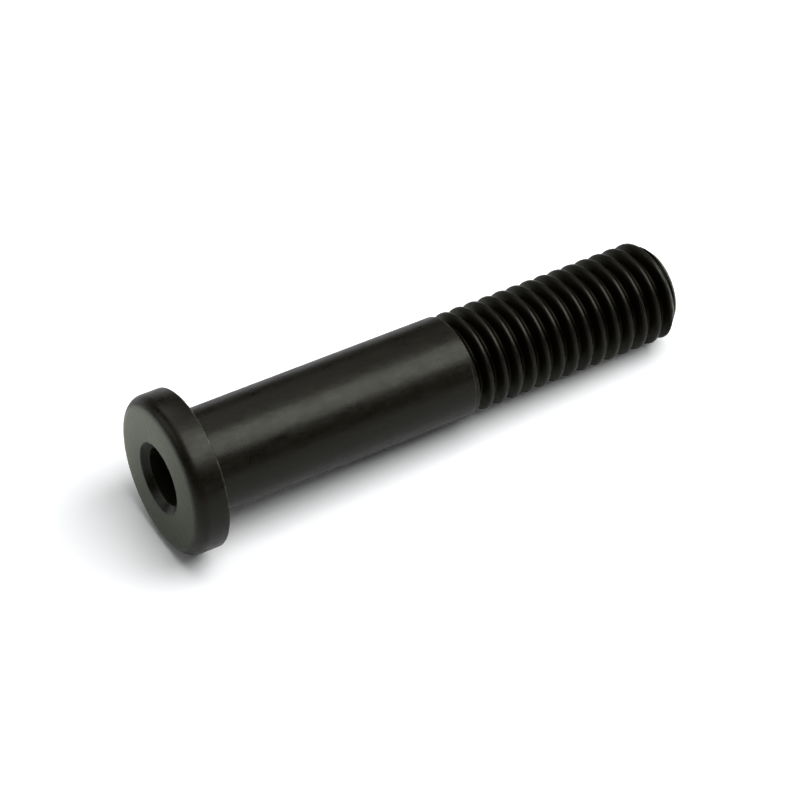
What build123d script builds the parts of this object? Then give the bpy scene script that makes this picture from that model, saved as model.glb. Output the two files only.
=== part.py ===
"""Shoulder bolt, M8, with a flat cylindrical head and a hexagon socket.

The bolt stands on the outer face of its head. The origin is the centre of that face,
and +Z runs along the axis towards the thread. All sizes are in millimetres.
"""

import os
from math import ceil, cos, pi, radians, sin, tan

from build123d import *

# Head
head_diameter = 12.25
head_height = 2.5
head_edge_radius = 0.97      # rounding between the outer face and the rim
head_edge_steps = 4          # cones that make up the rounding, to keep its mesh light
head_back_break = 0.08       # edge break between the rim and the bearing face

# Shoulder: the ground journal
shoulder_diameter = 7.97     # 8 mm, the middle of tolerance f9
shoulder_length = 22.0
shoulder_root_break = 0.12   # cone between the bearing face and the shoulder

# Thread: M8, coarse pitch, right-handed, tolerance 6g
nominal_diameter = 8.0
pitch = 1.25
crest_diameter = 7.87
neck_length = 0.55           # taper from the shoulder's diameter to the crests'
thread_length = 18.65        # from the shoulder's end to the end face
flank_angle = 30.0
point_diameter = 5.94        # end face inside the 45 degree point chamfer
first_groove_height = 0.455  # centre of the first full groove, above the shoulder's end
runout_angle = 90.0          # turn of the shallow stretch ahead of the first full groove

# Hexagon socket: a mouth cone, then a round relief that leaves the flats only further in
socket_across_flats = 4.0
socket_depth = 4.0
socket_corner_angle = 90.0   # direction of one corner, from +X
socket_mouth_diameter = 5.57
socket_mouth_angle = 90.0
socket_relief_diameter = 4.64
socket_relief_depth = 2.0
socket_drill_angle = 118.0

# Radii of the turned blank
head_radius = head_diameter / 2
shoulder_radius = shoulder_diameter / 2
crest_radius = crest_diameter / 2
point_radius = point_diameter / 2

# Levels along the axis
shoulder_end = head_height + shoulder_length
bolt_length = shoulder_end + thread_length
first_groove_level = shoulder_end + first_groove_height

# Metric thread form: a groove down to the root of its sharp triangle
flank_slope = tan(radians(flank_angle))
triangle_height = pitch / 2 / flank_slope
root_radius = nominal_diameter / 2 - 7 / 8 * triangle_height

# The groove's cutter, whose mouth lies just outside the shoulder
cutter_clearance = 0.1
cutter_radius = shoulder_radius + cutter_clearance
half_mouth = (cutter_radius - root_radius) * flank_slope
groove_turns = ceil((bolt_length - first_groove_level) / pitch)

# Cones in the socket
flat_radius = socket_across_flats / 2
mouth_radius = socket_mouth_diameter / 2
relief_radius = socket_relief_diameter / 2
mouth_depth = (mouth_radius - relief_radius) / tan(radians(socket_mouth_angle / 2))
drill_slope = tan(radians(socket_drill_angle / 2))

# Half section of the turned blank, from the centre of the head to the centre of the end face
edge_angles = [pi / 2 * step / head_edge_steps for step in range(head_edge_steps + 1)]
head_edge = [
    (
        head_radius - head_edge_radius * (1 - sin(angle)),
        head_edge_radius * (1 - cos(angle)),
    )
    for angle in edge_angles
]
blank_outline = [
    (0, 0),
    *head_edge,
    (head_radius, head_height - head_back_break),
    (head_radius - head_back_break, head_height),
    (shoulder_radius + shoulder_root_break, head_height),
    (shoulder_radius, head_height + shoulder_root_break),
    (shoulder_radius, shoulder_end),
    (crest_radius, shoulder_end + neck_length),
    (crest_radius, bolt_length - (crest_radius - point_radius)),
    (point_radius, bolt_length),
    (0, bolt_length),
]

# One turn of the thread's groove
with BuildPart() as groove_turn:
    with BuildLine() as groove_line:
        Helix(pitch, pitch, root_radius, center=(0, 0, first_groove_level))
    with BuildSketch(Plane.XZ) as groove_section:
        with BuildLine():
            Polyline(
                (root_radius, first_groove_level),
                (cutter_radius, first_groove_level - half_mouth),
                (cutter_radius, first_groove_level + half_mouth),
                close=True,
            )
        make_face()
    sweep(path=groove_line.line, is_frenet=True)

# Run-out: the same section, turned about an axis set off so that it leaves the metal
with BuildPart() as groove_runout:
    add(groove_section.sketch)
    revolve(
        axis=Axis((root_radius - cutter_radius, 0, 0), (0, 0, 1)),
        revolution_arc=-runout_angle,
    )

with BuildPart() as shoulder_bolt:
    with BuildSketch(Plane.XZ):
        with BuildLine():
            Polyline(*blank_outline, close=True)
        make_face()
    revolve(axis=Axis.Z)

    add(groove_runout.part, mode=Mode.SUBTRACT)
    for turn in range(groove_turns):
        with Locations((0, 0, turn * pitch)):
            add(groove_turn.part, mode=Mode.SUBTRACT)

    with BuildSketch(Plane.XY):
        RegularPolygon(
            flat_radius,
            side_count=6,
            major_radius=False,
            rotation=socket_corner_angle,
        )
    extrude(amount=socket_depth, mode=Mode.SUBTRACT)
    with BuildSketch(Plane.XZ):
        with BuildLine():
            Polyline(
                (0, 0),
                (mouth_radius, 0),
                (relief_radius, mouth_depth),
                (relief_radius, socket_relief_depth),
                (flat_radius, socket_relief_depth + (relief_radius - flat_radius) / drill_slope),
                (flat_radius, socket_depth),
                (0, socket_depth + flat_radius / drill_slope),
                close=True,
            )
        make_face()
    revolve(axis=Axis.Z, mode=Mode.SUBTRACT)

shoulder_bolt.part.label = "shoulder_bolt"

os.makedirs("parts", exist_ok=True)
export_step(shoulder_bolt.part, "parts/shoulder_bolt.step")
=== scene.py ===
from contextlib import contextmanager
from math import atan2, cos, pi, radians, sin, tan

import bpy
from mathutils import Matrix, Vector


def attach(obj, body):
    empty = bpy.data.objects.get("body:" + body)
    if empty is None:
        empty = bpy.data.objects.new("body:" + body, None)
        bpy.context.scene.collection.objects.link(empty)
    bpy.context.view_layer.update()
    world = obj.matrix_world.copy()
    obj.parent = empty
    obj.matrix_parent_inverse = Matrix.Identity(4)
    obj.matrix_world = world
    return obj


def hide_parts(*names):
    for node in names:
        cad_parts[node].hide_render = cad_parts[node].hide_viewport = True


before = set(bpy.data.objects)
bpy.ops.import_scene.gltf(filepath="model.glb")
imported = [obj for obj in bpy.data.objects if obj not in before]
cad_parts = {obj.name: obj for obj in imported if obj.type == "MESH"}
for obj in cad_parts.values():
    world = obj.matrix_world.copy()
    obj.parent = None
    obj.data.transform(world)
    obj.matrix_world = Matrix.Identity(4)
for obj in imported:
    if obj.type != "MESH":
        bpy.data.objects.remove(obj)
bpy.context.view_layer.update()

mm = 0.001
quarter = pi / 2
eighth = pi / 4

# Turned shape, from the outer face of the head at level 0 to the end of the thread
head_radius = 6.125 * mm
head_height = 2.5 * mm
head_edge_radius = 0.97 * mm
head_back_radius = 0.08 * mm
shoulder_radius = 3.985 * mm
shoulder_end = 24.5 * mm
shoulder_root_radius = 0.14 * mm
shoulder_edge_radius = 0.05 * mm
crest_radius = 3.935 * mm
crest_start = shoulder_end + 0.03 * mm
bolt_length = 43.15 * mm
point_radius = 2.97 * mm
point_start = bolt_length - (crest_radius - point_radius)

# Thread M8, coarse: a groove with straight flanks, a rounded root and rounded crests
nominal_radius = 4.0 * mm
pitch = 1.25 * mm
flank_angle = radians(30)
triangle_height = pitch / 2 / tan(flank_angle)
sharp_root_radius = nominal_radius - 7 / 8 * triangle_height
root_round = 0.144 * pitch
root_centre = sharp_root_radius + root_round / sin(flank_angle)
root_radius = root_centre - root_round
crest_round = 0.12 * mm
crest_round_end = radians(8)
first_groove_level = shoulder_end + 0.455 * mm
groove_turns = 16
cutter_radius = shoulder_radius + 0.06 * mm

# Hexagon socket: a mouth cone, a round relief, the flats, and a drilled bottom
socket_flat_radius = 2.0 * mm
socket_corner_radius = socket_flat_radius / cos(pi / 6)
socket_depth = 4.0 * mm
mouth_radius = 2.785 * mm
mouth_round = 0.05 * mm
relief_radius = 2.27 * mm
relief_depth = 2.0 * mm
mouth_depth = mouth_radius - relief_radius
flats_start = mouth_depth / 2
pilot_radius = 1.97 * mm
drill_angle = radians(59)

# Fineness of the mesh
ring_steps = 144
groove_steps = 100
head_edge_steps = 14
shoulder_root_steps = 5
small_edge_steps = 4
mouth_steps = 3
thread_arc_steps = 4
merge_distance = 0.0001 * mm
smooth_angle = radians(35)


# ---------------------------------------------------------------- camera
camera_place = Vector((34.56, 228.97, -80.84)) * mm
camera_target = Vector((0.014, 6.698, 17.0)) * mm
camera_up = Vector((0.94294, 0.0, 0.33296))
camera_back = (camera_place - camera_target).normalized()
camera_right = camera_up.cross(camera_back).normalized()
camera_turn = Matrix((camera_right, camera_back.cross(camera_right), camera_back)).transposed()
bpy.ops.object.camera_add(location=camera_place, rotation=camera_turn.to_euler())
camera = bpy.context.object
camera.name = "camera"
camera.data.lens = 153.23
camera.data.sensor_width = 36.0
camera.data.clip_start = 0.01
bpy.context.scene.camera = camera


# ---------------------------------------------------------------- sums in a material
def put(tree, value, socket):
    """Sets an input to a number or a colour, or joins it to the output of another node"""
    if isinstance(value, bpy.types.NodeSocket):
        tree.links.new(value, socket)
    else:
        socket.default_value = value


def sum_node(tree, operation, *values):
    """A sum on values; each is a number or the output of another node"""
    node = tree.nodes.new("ShaderNodeMath")
    node.operation = operation
    for socket, value in zip(node.inputs, values):
        put(tree, value, socket)
    return node.outputs[0]


def times(tree, value, factor):
    return sum_node(tree, "MULTIPLY", value, factor)


def larger(tree, value, other):
    return sum_node(tree, "MAXIMUM", value, other)


def total(tree, value, *others):
    """All the values added up"""
    for other in others:
        value = sum_node(tree, "ADD", value, other)
    return value


def swing(tree, cloud, amount):
    """How far a cloud is above or below its middle, times an amount"""
    return times(tree, sum_node(tree, "SUBTRACT", cloud, 0.5), amount)


def length_node(tree, across, along):
    """Length of the slanting line across these two sides"""
    squares = total(tree, times(tree, across, across), times(tree, along, along))
    return sum_node(tree, "POWER", squares, 0.5)


def step_node(tree, value, start, end, low=0.0, high=1.0):
    """A smooth step from low to high while the value goes from start to end"""
    node = tree.nodes.new("ShaderNodeMapRange")
    node.interpolation_type = "SMOOTHSTEP"
    put(tree, value, node.inputs["Value"])
    for name, number in zip(("From Min", "From Max", "To Min", "To Max"), (start, end, low, high)):
        node.inputs[name].default_value = number
    return node.outputs["Result"]


def place_node(tree, across, along, level):
    node = tree.nodes.new("ShaderNodeCombineXYZ")
    for socket, value in zip(node.inputs, (across, along, level)):
        put(tree, value, socket)
    return node.outputs[0]


def cloud_node(tree, place, scale, detail, roughness):
    """Soft clouds between 0 and 1"""
    node = tree.nodes.new("ShaderNodeTexNoise")
    put(tree, place, node.inputs["Vector"])
    node.inputs["Scale"].default_value = scale
    node.inputs["Detail"].default_value = detail
    node.inputs["Roughness"].default_value = roughness
    return node.outputs["Fac"]


# Where a mix of each kind has its two inputs and its output
mix_sockets = {"FLOAT": (2, 3, 0), "RGBA": (6, 7, 2)}


def mix_node(tree, kind, amount, plain, full):
    """Goes from plain to full with the amount; the kind is FLOAT or RGBA"""
    node = tree.nodes.new("ShaderNodeMix")
    node.data_type = kind
    plain_socket, full_socket, result = mix_sockets[kind]
    put(tree, amount, node.inputs[0])
    put(tree, plain, node.inputs[plain_socket])
    put(tree, full, node.inputs[full_socket])
    return node.outputs[result]


def new_material(name):
    """A material with an empty tree"""
    material = bpy.data.materials.new(name)
    material.use_nodes = True
    material.node_tree.nodes.clear()
    return material, material.node_tree


# ---------------------------------------------------------------- floor
# The bolt leans on the rim of its head and on the end of its thread
lying_tilt = atan2(head_radius - crest_radius, point_start - head_height)
lying_roll = radians(40.8)
floor_up = Vector((
    cos(lying_tilt) * cos(lying_roll),
    cos(lying_tilt) * sin(lying_roll),
    -sin(lying_tilt),
))
floor_side = floor_up.cross(Vector((0, 0, 1))).normalized()
floor_drop = head_radius * cos(lying_tilt) + head_height * sin(lying_tilt)
floor_turn = Matrix((floor_up.cross(floor_side), -floor_side, floor_up)).transposed()
floor_size = 1.6

paper_colour = (0.64, 0.65, 0.66, 1)
camera_lift = 0.63
metal_lift = 0.05


def pale_floor():
    """White paper, clear from below, whose colour is lifted for the rays that show it"""
    material, tree = new_material("pale_floor")
    nodes = tree.nodes
    ray = nodes.new("ShaderNodeLightPath").outputs
    mirrored = larger(tree, ray["Is Glossy Ray"], ray["Is Transmission Ray"])
    shown = larger(
        tree, times(tree, ray["Is Camera Ray"], camera_lift), times(tree, mirrored, metal_lift)
    )
    lifted = nodes.new("ShaderNodeCombineColor")
    for channel in lifted.inputs:
        put(tree, shown, channel)
    paper = nodes.new("ShaderNodeBsdfDiffuse")
    put(tree, paper_colour, paper.inputs["Color"])
    lift = nodes.new("ShaderNodeBsdfDiffuse")
    put(tree, lifted.outputs[0], lift.inputs["Color"])
    both = nodes.new("ShaderNodeAddShader")
    put(tree, paper.outputs[0], both.inputs[0])
    put(tree, lift.outputs[0], both.inputs[1])

    one_sided = nodes.new("ShaderNodeMixShader")
    put(tree, nodes.new("ShaderNodeNewGeometry").outputs["Backfacing"], one_sided.inputs["Fac"])
    put(tree, both.outputs[0], one_sided.inputs[1])
    put(tree, nodes.new("ShaderNodeBsdfTransparent").outputs[0], one_sided.inputs[2])
    put(tree, one_sided.outputs[0], nodes.new("ShaderNodeOutputMaterial").inputs["Surface"])
    return material


bpy.ops.object.select_all(action="DESELECT")
bpy.ops.mesh.primitive_plane_add(
    size=floor_size, location=floor_up * -floor_drop, rotation=floor_turn.to_euler()
)
floor = bpy.context.object
floor.name = "floor"
floor.data.materials.append(pale_floor())


# ---------------------------------------------------------------- light
tent_glow = 0.028
tent_white = 1.0


def light_tent():
    """A tent that hardly lights the bolt; the camera, and metal below the horizon, see it white"""
    tent = bpy.data.worlds.new("light_tent")
    tent.use_nodes = True
    tree = tent.node_tree
    nodes = tree.nodes
    nodes.clear()
    rise = nodes.new("ShaderNodeVectorMath")
    rise.operation = "DOT_PRODUCT"
    put(tree, nodes.new("ShaderNodeTexCoord").outputs["Generated"], rise.inputs[0])
    put(tree, floor_up, rise.inputs[1])
    under_horizon = sum_node(tree, "LESS_THAN", rise.outputs["Value"], 0.0)
    ray = nodes.new("ShaderNodeLightPath").outputs
    shown = larger(
        tree,
        larger(tree, ray["Is Camera Ray"], ray["Is Transmission Ray"]),
        times(tree, ray["Is Glossy Ray"], under_horizon),
    )
    strength = nodes.new("ShaderNodeMapRange")
    put(tree, shown, strength.inputs["Value"])
    put(tree, tent_glow, strength.inputs["To Min"])
    put(tree, tent_white, strength.inputs["To Max"])
    cloth = nodes.new("ShaderNodeBackground")
    put(tree, (1, 1, 1, 1), cloth.inputs["Color"])
    put(tree, strength.outputs["Result"], cloth.inputs["Strength"])
    put(tree, cloth.outputs[0], nodes.new("ShaderNodeOutputWorld").inputs["Surface"])
    return tent


bpy.context.scene.world = light_tent()

# Directions along the floor: towards the camera, and to its right
towards_camera = (camera_place - floor_up * camera_place.dot(floor_up)).normalized()
to_the_right = floor_up.cross(towards_camera)
bolt_middle = Vector((0, 0, 21.5)) * mm


def softbox(name, rise, turn, distance, width, length, radiance):
    """A lamp that faces the bolt, so many degrees over the floor and round from the camera"""
    aim = (
        floor_up * sin(radians(rise))
        + towards_camera * cos(radians(rise)) * cos(radians(turn))
        + to_the_right * cos(radians(rise)) * sin(radians(turn))
    )
    right = Vector((0, 0, 1)).cross(aim).normalized()
    facing = Matrix((right, aim.cross(right), aim)).transposed()
    bpy.ops.object.light_add(
        type="AREA", location=bolt_middle + aim * distance, rotation=facing.to_euler()
    )
    lamp = bpy.context.object
    lamp.name = name
    lamp.data.shape = "RECTANGLE"
    lamp.data.size = width
    lamp.data.size_y = length
    lamp.data.energy = radiance * pi * width * length


softbox("long_softbox", rise=65, turn=71, distance=0.4, width=0.30, length=0.40, radiance=3.9)
softbox("right_wall", rise=42, turn=98, distance=0.6, width=0.40, length=0.30, radiance=0.3)
softbox("ceiling", rise=80, turn=95, distance=0.5, width=0.55, length=0.55, radiance=0.55)
softbox("back_wall", rise=50, turn=198, distance=0.6, width=0.40, length=0.40, radiance=1.1)
softbox("left_wall", rise=28, turn=264, distance=0.6, width=0.50, length=0.30, radiance=0.95)


# ---------------------------------------------------------------- finish
# Oxide where it covers, where it is worn thin with painted highlight lines, the painted shade deep
# in the thread's groove, the painted reflection on the outer face, and how it shines
oxide_dark = (0.0044, 0.0042, 0.0029, 1)
oxide_light = (0.0086, 0.0068, 0.0039, 1)
oxide_brown = (0.0110, 0.0091, 0.0056, 1)
# Painted shade: a darker colour deep in the thread's groove
painted_groove_shade = (0.0070, 0.0058, 0.0034, 1)
socket_wall = (0.022, 0.021, 0.015, 1)
# Outer face colours, from a painted shade to a painted reflection that is lighter towards one side
face_painted_shade = (0.034, 0.037, 0.031, 1)
face_painted_reflection = (0.150, 0.160, 0.138, 1)
painted_reflection_side = radians(335)
# Worn steel, also standing in for painted highlight lines on edges and crests
worn_steel_and_highlight = (0.15, 0.14, 0.12, 1)
reflection_tint = (0.98, 1.0, 0.90, 1)
reflection_level = 0.26
oxide_roughness = 0.33
grain_height = 0.012 * mm
grain_strength = 0.5
turning_centre = 0.2 * mm
# Crests lightened: wear and a painted highlight line
crest_worn_and_highlit = 0.08

# Turned edges that are worn and carry painted highlight lines: distance from the axis, level,
# width of the band, amount
worn_and_highlit_edges = (
    (head_radius, head_height, 0.18 * mm, 1.0),
    (mouth_radius, 0.0, 0.12 * mm, 0.35),
    (shoulder_radius, shoulder_end, 0.12 * mm, 0.45),
    (crest_radius, point_start, 0.14 * mm, 0.8),
    (point_radius, bolt_length, 0.12 * mm, 0.6),
)


def bolt_place(tree):
    """The place on the bolt in millimetres, its three parts, and the distance from the axis"""
    in_mm = tree.nodes.new("ShaderNodeVectorMath")
    in_mm.operation = "SCALE"
    put(tree, tree.nodes.new("ShaderNodeTexCoord").outputs["Object"], in_mm.inputs[0])
    put(tree, 1 / mm, in_mm.inputs["Scale"])
    parts = tree.nodes.new("ShaderNodeSeparateXYZ")
    put(tree, in_mm.outputs[0], parts.inputs[0])
    across, along, level = parts.outputs
    return in_mm.outputs[0], across, along, level, length_node(tree, across, along)


def size_step(tree, size, start, end, low=0.0, high=1.0):
    """A smooth step between two sizes of the bolt"""
    return step_node(tree, size, start / mm, end / mm, low, high)


def turning_lines(tree, across, along, radius, travel, waviness, fineness):
    """Lines that the tool left: fine along its travel and nearly even round the axis"""
    away_from_axis = larger(tree, radius, turning_centre / mm)
    place = place_node(
        tree,
        times(tree, sum_node(tree, "DIVIDE", across, away_from_axis), waviness),
        times(tree, sum_node(tree, "DIVIDE", along, away_from_axis), waviness),
        times(tree, travel, fineness),
    )
    return cloud_node(tree, place, scale=1.0, detail=3.0, roughness=0.6)


def worn_and_highlit_bands(tree, place, radius, level, threaded):
    """How far the oxide is worn, partly as painted highlight lines, in broken bands about the
    turned edges and on the crests
    """
    crests = times(tree, threaded, size_step(
        tree, radius, crest_radius - 0.015 * mm, crest_radius + 0.001 * mm
    ))
    worn_and_highlit = times(tree, crests, crest_worn_and_highlit)
    for edge_radius, edge_level, width, amount in worn_and_highlit_edges:
        off_edge = length_node(
            tree,
            sum_node(tree, "SUBTRACT", radius, edge_radius / mm),
            sum_node(tree, "SUBTRACT", level, edge_level / mm),
        )
        worn_and_highlit = larger(tree, worn_and_highlit, size_step(tree, off_edge, 0.0, width, amount, 0.0))
    patches = cloud_node(tree, place, scale=1.7, detail=4.0, roughness=0.65)
    return times(tree, worn_and_highlit, step_node(tree, patches, 0.36, 0.66))


def face_with_painted_reflection(tree, across, along, stains):
    """Colour of the head's outer face, lighter towards one side as a painted reflection, with
    stains on it
    """
    share = mm / (2 * head_radius)
    # Painted reflection: lighter towards one side, with stains mixed in
    painted_reflection_and_stains = total(
        tree, 0.5,
        times(tree, across, cos(painted_reflection_side) * share),
        times(tree, along, sin(painted_reflection_side) * share),
        swing(tree, stains, 0.2),
    )
    return mix_node(tree, "RGBA", painted_reflection_and_stains, face_painted_shade, face_painted_reflection)


def black_steel():
    """Black oxide on turned steel, worn thin along its edges with painted highlight lines, with
    painted shade deep in the thread's groove and a painted reflection on the outer face
    """
    material, tree = new_material("black_steel")
    steel = tree.nodes.new("ShaderNodeBsdfPrincipled")
    place, across, along, level, radius = bolt_place(tree)

    # Where on the bolt
    threaded = size_step(tree, level, shoulder_end + 0.02 * mm, shoulder_end + 0.25 * mm)
    # Painted shade mask: full deep in the groove, a fifth at the crests
    groove_shade_mask = times(tree, threaded, size_step(
        tree, radius, crest_radius - 0.235 * mm, crest_radius - 0.005 * mm, 1.0, 0.2
    ))
    outer_face = times(
        tree,
        size_step(tree, level, 0.02 * mm, 0.16 * mm, 1.0, 0.0),
        size_step(tree, radius, mouth_radius - 0.005 * mm, mouth_radius + 0.075 * mm),
    )
    in_socket = times(
        tree,
        size_step(tree, radius, relief_radius + 0.03 * mm, relief_radius + 0.18 * mm, 1.0, 0.0),
        size_step(tree, level, socket_depth + 2 * mm, socket_depth + 4 * mm, 1.0, 0.0),
    )
    end_face = size_step(tree, level, bolt_length - 0.07 * mm, bolt_length - 0.02 * mm)

    # Grain of the oxide, from large stains to a fine tooth, and streaks along the axis
    stains = cloud_node(tree, place, scale=0.55, detail=3.0, roughness=0.55)
    blotches = cloud_node(tree, place, scale=2.6, detail=3.0, roughness=0.6)
    tooth = cloud_node(tree, place, scale=11.0, detail=2.0, roughness=0.6)
    stretched = place_node(tree, across, along, times(tree, level, 0.35))
    streaks = cloud_node(tree, stretched, scale=2.4, detail=3.0, roughness=0.55)

    # Lines from the lathe: round the axis on the shoulder, and in rings on the flat ends
    round_lines = turning_lines(tree, across, along, radius, level, waviness=0.7, fineness=9.0)
    ring_lines = turning_lines(tree, across, along, radius, radius, waviness=0.4, fineness=6.0)
    flat_end = larger(tree, outer_face, end_face)
    tool_lines = mix_node(tree, "FLOAT", flat_end, round_lines, ring_lines)

    # Worn edges and crests, partly painted highlight lines
    worn_and_highlit = worn_and_highlit_bands(tree, place, radius, level, threaded)

    # Colour, from the oxide to the places that differ from it
    brown_amount = step_node(tree, blotches, 0.35, 0.7, 0.0, 0.45)
    colour = mix_node(tree, "RGBA", stains, oxide_dark, oxide_light)
    for amount, layer in (
        (brown_amount, oxide_brown),
        # Painted shade in the thread's groove
        (times(tree, groove_shade_mask, 0.9), painted_groove_shade),
        (times(tree, in_socket, 0.9), socket_wall),
        # Outer face with its painted reflection, lighter towards one side
        (times(tree, outer_face, 0.95), face_with_painted_reflection(tree, across, along, stains)),
        # Worn edges and crests, partly painted highlight lines
        (times(tree, worn_and_highlit, 0.8), worn_steel_and_highlight),
    ):
        colour = mix_node(tree, "RGBA", amount, colour, layer)
    put(tree, colour, steel.inputs["Base Color"])

    # Worn places and painted highlight lines turn partly metallic
    bare = larger(tree, times(tree, worn_and_highlit, 0.55), times(tree, outer_face, 0.95))
    # The groove's painted shade is near-black metal, so it reflects little
    bare = larger(tree, bare, times(tree, groove_shade_mask, 0.92))
    put(tree, bare, steel.inputs["Metallic"])

    rough = total(
        tree, oxide_roughness,
        swing(tree, blotches, 0.16),
        swing(tree, stains, 0.12),
        swing(tree, tool_lines, 0.08),
        swing(tree, streaks, 0.28),
        times(tree, worn_and_highlit, -0.08),
        times(tree, groove_shade_mask, 0.05),
        times(tree, outer_face, -0.12),
    )
    put(tree, rough, steel.inputs["Roughness"])

    height = total(
        tree,
        times(tree, tooth, 0.35),
        times(tree, blotches, 0.9),
        times(tree, streaks, 1.7),
        times(tree, tool_lines, 0.35),
    )
    grain = tree.nodes.new("ShaderNodeBump")
    put(tree, height, grain.inputs["Height"])
    grain.inputs["Strength"].default_value = grain_strength
    grain.inputs["Distance"].default_value = grain_height
    put(tree, grain.outputs["Normal"], steel.inputs["Normal"])

    steel.inputs["Specular IOR Level"].default_value = reflection_level
    steel.inputs["Specular Tint"].default_value = reflection_tint
    put(tree, steel.outputs[0], tree.nodes.new("ShaderNodeOutputMaterial").inputs["Surface"])
    return material


# ---------------------------------------------------------------- bench
def arc(centre, radius, start_angle, end_angle, steps):
    """Points of an arc in the half section, as (distance from the axis, level)"""
    return [
        (
            centre[0] + radius * cos(start_angle + (end_angle - start_angle) * step / steps),
            centre[1] + radius * sin(start_angle + (end_angle - start_angle) * step / steps),
        )
        for step in range(steps + 1)
    ]


def only(piece):
    """Selects one piece and nothing else"""
    bpy.ops.object.select_all(action="DESELECT")
    piece.select_set(True)
    bpy.context.view_layer.objects.active = piece


@contextmanager
def editing(piece):
    """Edit mode on one piece, with all of it selected"""
    only(piece)
    bpy.ops.object.mode_set(mode="EDIT")
    bpy.ops.mesh.select_all(action="SELECT")
    yield
    bpy.ops.object.mode_set(mode="OBJECT")


def drawn_line(name, outline):
    """A line through the points of a half section, drawn corner by corner"""
    corners = [Vector((distance, 0, level)) for distance, level in outline]
    bpy.ops.object.select_all(action="DESELECT")
    bpy.ops.mesh.primitive_plane_add(size=mm)
    line = bpy.context.object
    line.name = name
    with editing(line):
        bpy.ops.mesh.merge(type="CENTER")
        bpy.ops.transform.translate(value=corners[0])
        for start, end in zip(corners, corners[1:]):
            bpy.ops.mesh.extrude_region_move(TRANSFORM_OT_translate={"value": end - start})
    return line


def spun(piece, steps, angle, centre):
    """Spins a line about an upright axis through the centre"""
    with editing(piece):
        bpy.ops.mesh.spin(steps=steps, angle=angle, center=centre, axis=(0, 0, 1))


def merged(piece):
    """Closes the seams of a piece and turns its faces outwards"""
    with editing(piece):
        bpy.ops.mesh.remove_doubles(threshold=merge_distance)
        bpy.ops.mesh.normals_make_consistent(inside=False)


def applied(piece, kind, **settings):
    """Adds a modifier with these settings and applies it"""
    only(piece)
    bpy.ops.object.modifier_add(type=kind)
    modifier = piece.modifiers[-1]
    for setting, value in settings.items():
        setattr(modifier, setting, value)
    bpy.ops.object.modifier_apply(modifier=modifier.name)


def cut(piece, cutter):
    """Takes the cutter's shape out of the piece, and then clears the cutter away"""
    applied(piece, "BOOLEAN", operation="DIFFERENCE", solver="EXACT", object=cutter)
    bpy.data.objects.remove(cutter)


# ---------------------------------------------------------------- bolt
def turned_blank():
    """The bolt before its thread and its flats are cut"""
    blank = drawn_line("turned_bolt", [
        (0, bolt_length),
        (point_radius, bolt_length),
        (crest_radius, point_start),
        (crest_radius, crest_start),
        *arc(
            (shoulder_radius - shoulder_edge_radius, shoulder_end - shoulder_edge_radius),
            shoulder_edge_radius, quarter, 0, small_edge_steps,
        ),
        *arc(
            (shoulder_radius + shoulder_root_radius, head_height + shoulder_root_radius),
            shoulder_root_radius, 2 * quarter, 3 * quarter, shoulder_root_steps,
        ),
        *arc(
            (head_radius - head_back_radius, head_height - head_back_radius),
            head_back_radius, quarter, 0, small_edge_steps,
        ),
        *arc(
            (head_radius - head_edge_radius, head_edge_radius),
            head_edge_radius, 0, -quarter, head_edge_steps,
        ),
        *arc(
            (mouth_radius + mouth_round * tan(eighth / 2), mouth_round),
            mouth_round, -quarter, -quarter - eighth, mouth_steps,
        ),
        (relief_radius, mouth_depth),
        (relief_radius, relief_depth),
        (pilot_radius, relief_depth + (relief_radius - pilot_radius) / tan(drill_angle)),
        (pilot_radius, socket_depth),
        (0, socket_depth + pilot_radius / tan(drill_angle)),
    ])
    spun(blank, ring_steps, 2 * pi, (0, 0, 0))
    merged(blank)
    return blank


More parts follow.
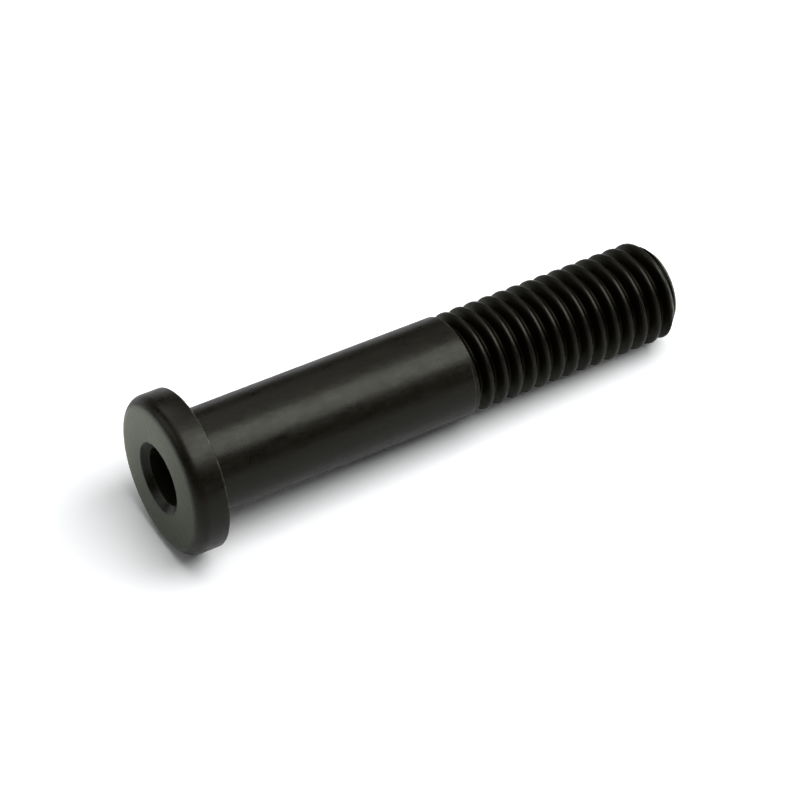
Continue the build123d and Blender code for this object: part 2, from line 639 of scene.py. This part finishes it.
def groove_section():
    """Outline of the groove, from past the lower crest, round the root, to past the upper one"""
    crest_half_width = (crest_radius - sharp_root_radius) * tan(flank_angle)
    crest_centre = (
        crest_radius - crest_round,
        crest_half_width + crest_round * tan((quarter - flank_angle) / 2),
    )
    upper_crest = arc(
        crest_centre, crest_round, flank_angle - quarter, -crest_round_end, thread_arc_steps
    )
    upper_root = arc(
        (root_centre, 0), root_round, 2 * quarter, quarter + flank_angle, thread_arc_steps
    )
    upper_side = upper_root + upper_crest + [(cutter_radius, upper_crest[-1][1])]
    lower_side = [(distance, -level) for distance, level in reversed(upper_side)]
    return [
        (distance, level + first_groove_level) for distance, level in lower_side + upper_side[1:]
    ]


def thread_groove():
    """The solid that the thread's groove takes away, closed at both ends"""
    groove = drawn_line("thread_groove", groove_section())
    with editing(groove):
        bpy.ops.mesh.edge_face_add()
        bpy.ops.mesh.delete(type="ONLY_FACE")

    # Ahead of its first turn the groove leaves the metal, about an axis set off to one side
    runout = groove.copy()
    runout.data = groove.data.copy()
    runout.name = "groove_runout"
    bpy.context.collection.objects.link(runout)
    spun(runout, groove_steps // 4, quarter, (root_radius - cutter_radius, 0, 0))

    applied(
        groove, "SCREW", axis="Z", angle=2 * pi, screw_offset=pitch,
        iterations=groove_turns, steps=groove_steps, render_steps=groove_steps,
        use_normal_calculate=False,
    )
    only(groove)
    runout.select_set(True)
    bpy.ops.object.join()
    with editing(groove):
        bpy.ops.mesh.remove_doubles(threshold=merge_distance)
        bpy.ops.mesh.select_mode(type="EDGE")
        bpy.ops.mesh.select_all(action="DESELECT")
        bpy.ops.mesh.select_non_manifold(extend=False)
        bpy.ops.mesh.fill_holes(sides=0)
        bpy.ops.mesh.select_all(action="SELECT")
        bpy.ops.mesh.normals_make_consistent(inside=False)
    return groove


def socket_hexagon():
    """The six flats of the socket, with one corner towards +Y"""
    bpy.ops.object.select_all(action="DESELECT")
    bpy.ops.mesh.primitive_cylinder_add(
        vertices=6,
        radius=socket_corner_radius,
        depth=socket_depth - flats_start,
        location=(0, 0, (socket_depth + flats_start) / 2),
    )
    hexagon = bpy.context.object
    hexagon.name = "socket_hexagon"
    return hexagon


bolt = turned_blank()
cut(bolt, thread_groove())
cut(bolt, socket_hexagon())
merged(bolt)
only(bolt)
bpy.ops.object.shade_smooth_by_angle(angle=smooth_angle)
applied(bolt, "WEIGHTED_NORMAL", keep_sharp=True)

bolt.data.materials.append(black_steel())
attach(bolt, "root")
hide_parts("shoulder_bolt")

bpy.context.scene.view_settings.view_transform = "Standard"
